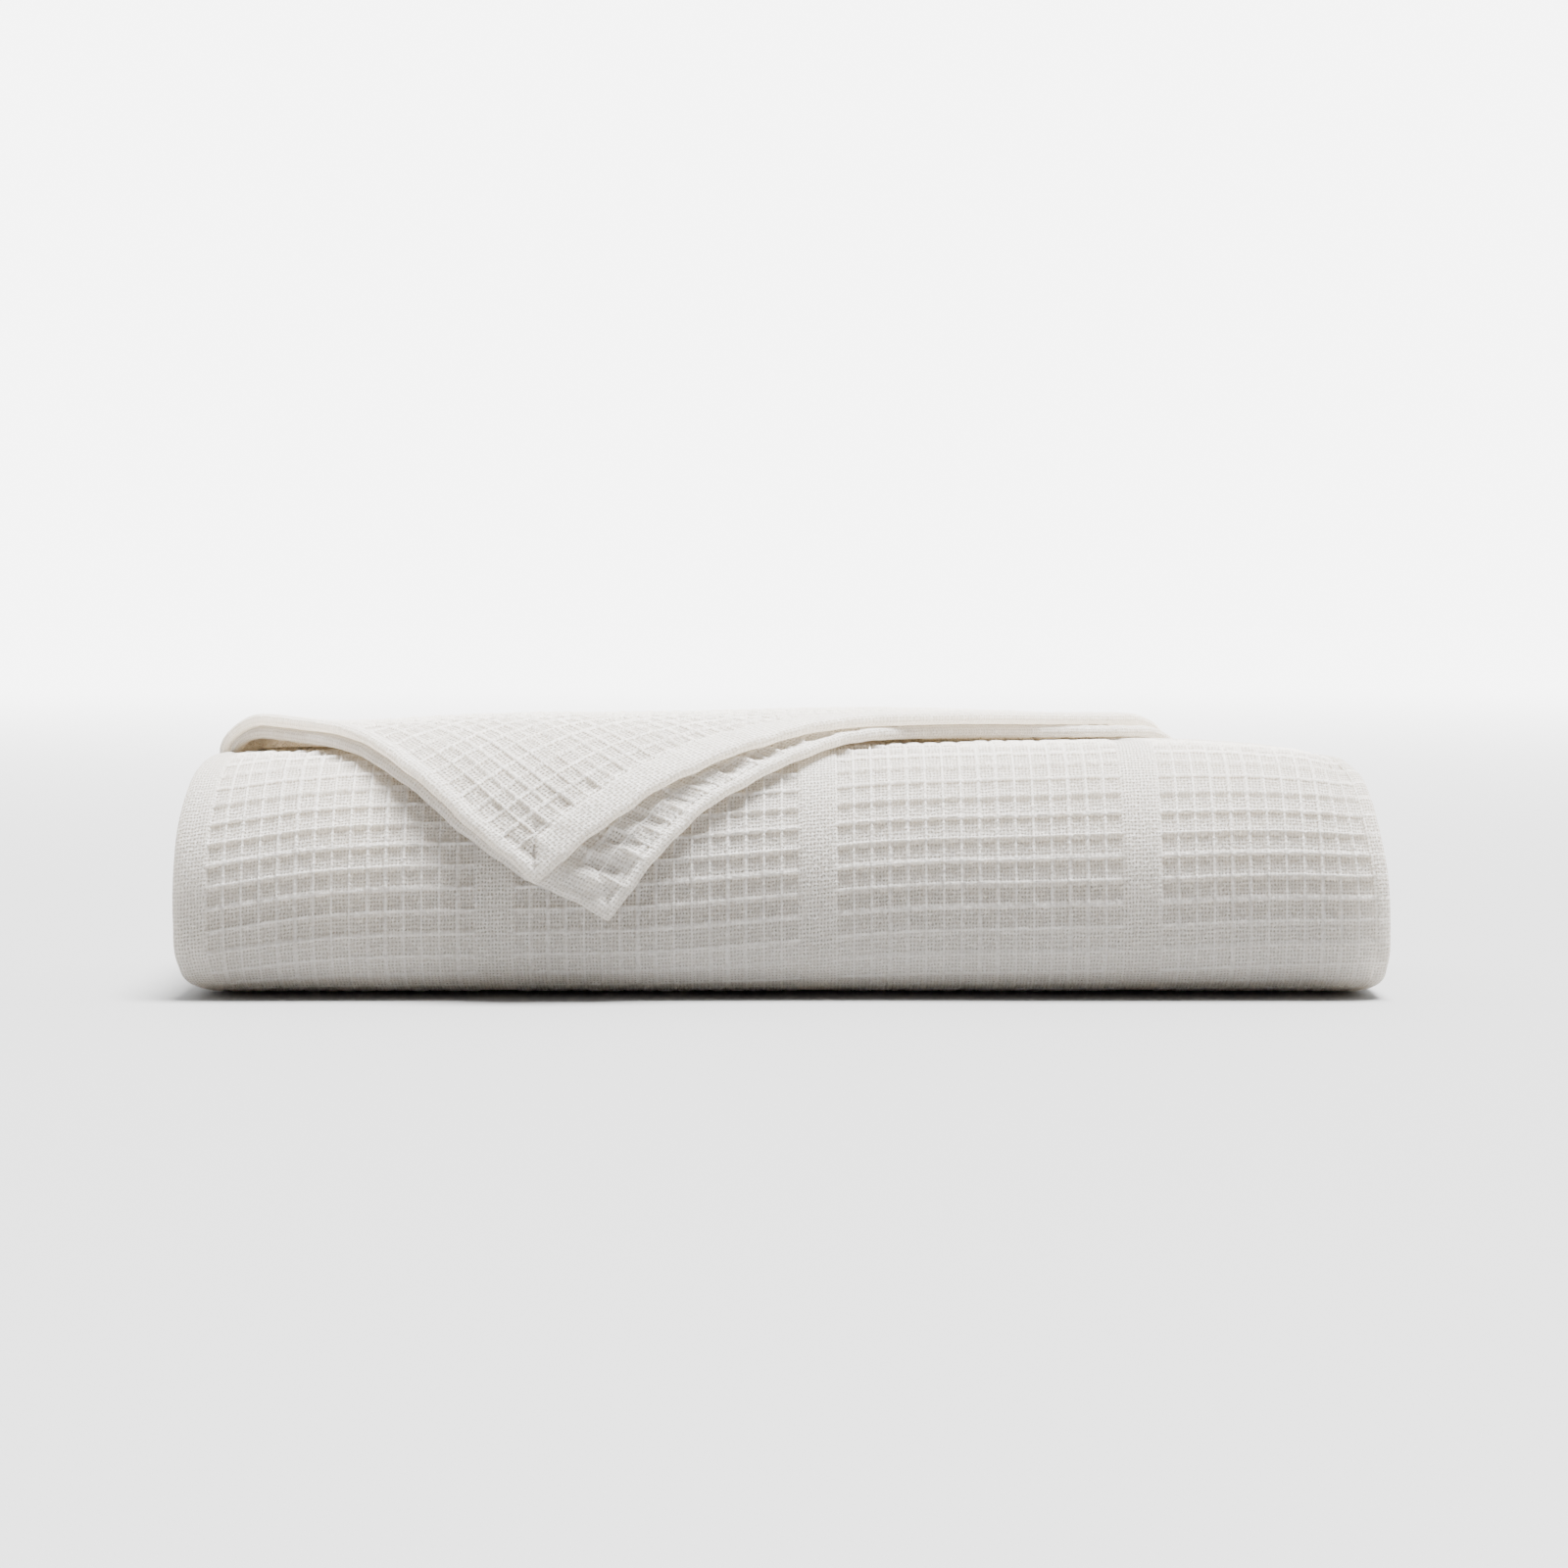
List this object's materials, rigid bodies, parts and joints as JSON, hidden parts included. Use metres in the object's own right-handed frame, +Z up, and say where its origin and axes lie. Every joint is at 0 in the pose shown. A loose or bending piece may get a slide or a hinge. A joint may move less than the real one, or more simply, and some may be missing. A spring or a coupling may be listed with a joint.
{
  "type": "folded waffle weave blanket",
  "caption": "White waffle weave cotton blanket folded into a neat bundle with a round front fold, its hemmed corner drawn over the top and hanging over the front.",
  "frame": {"origin": "under the middle of the blanket's box, on the surface that it rests on", "axes": "+X to the right along the front fold, -Y to the front with the round fold and the hanging corner, +Z up"},
  "size_m": [0.4254, 0.2064, 0.1001],
  "materials": {
    "white_cotton": "matte woven cotton"
  },
  "bodies": {
    "root": {"blanket": "white_cotton"}
  },
  "joints": []
}
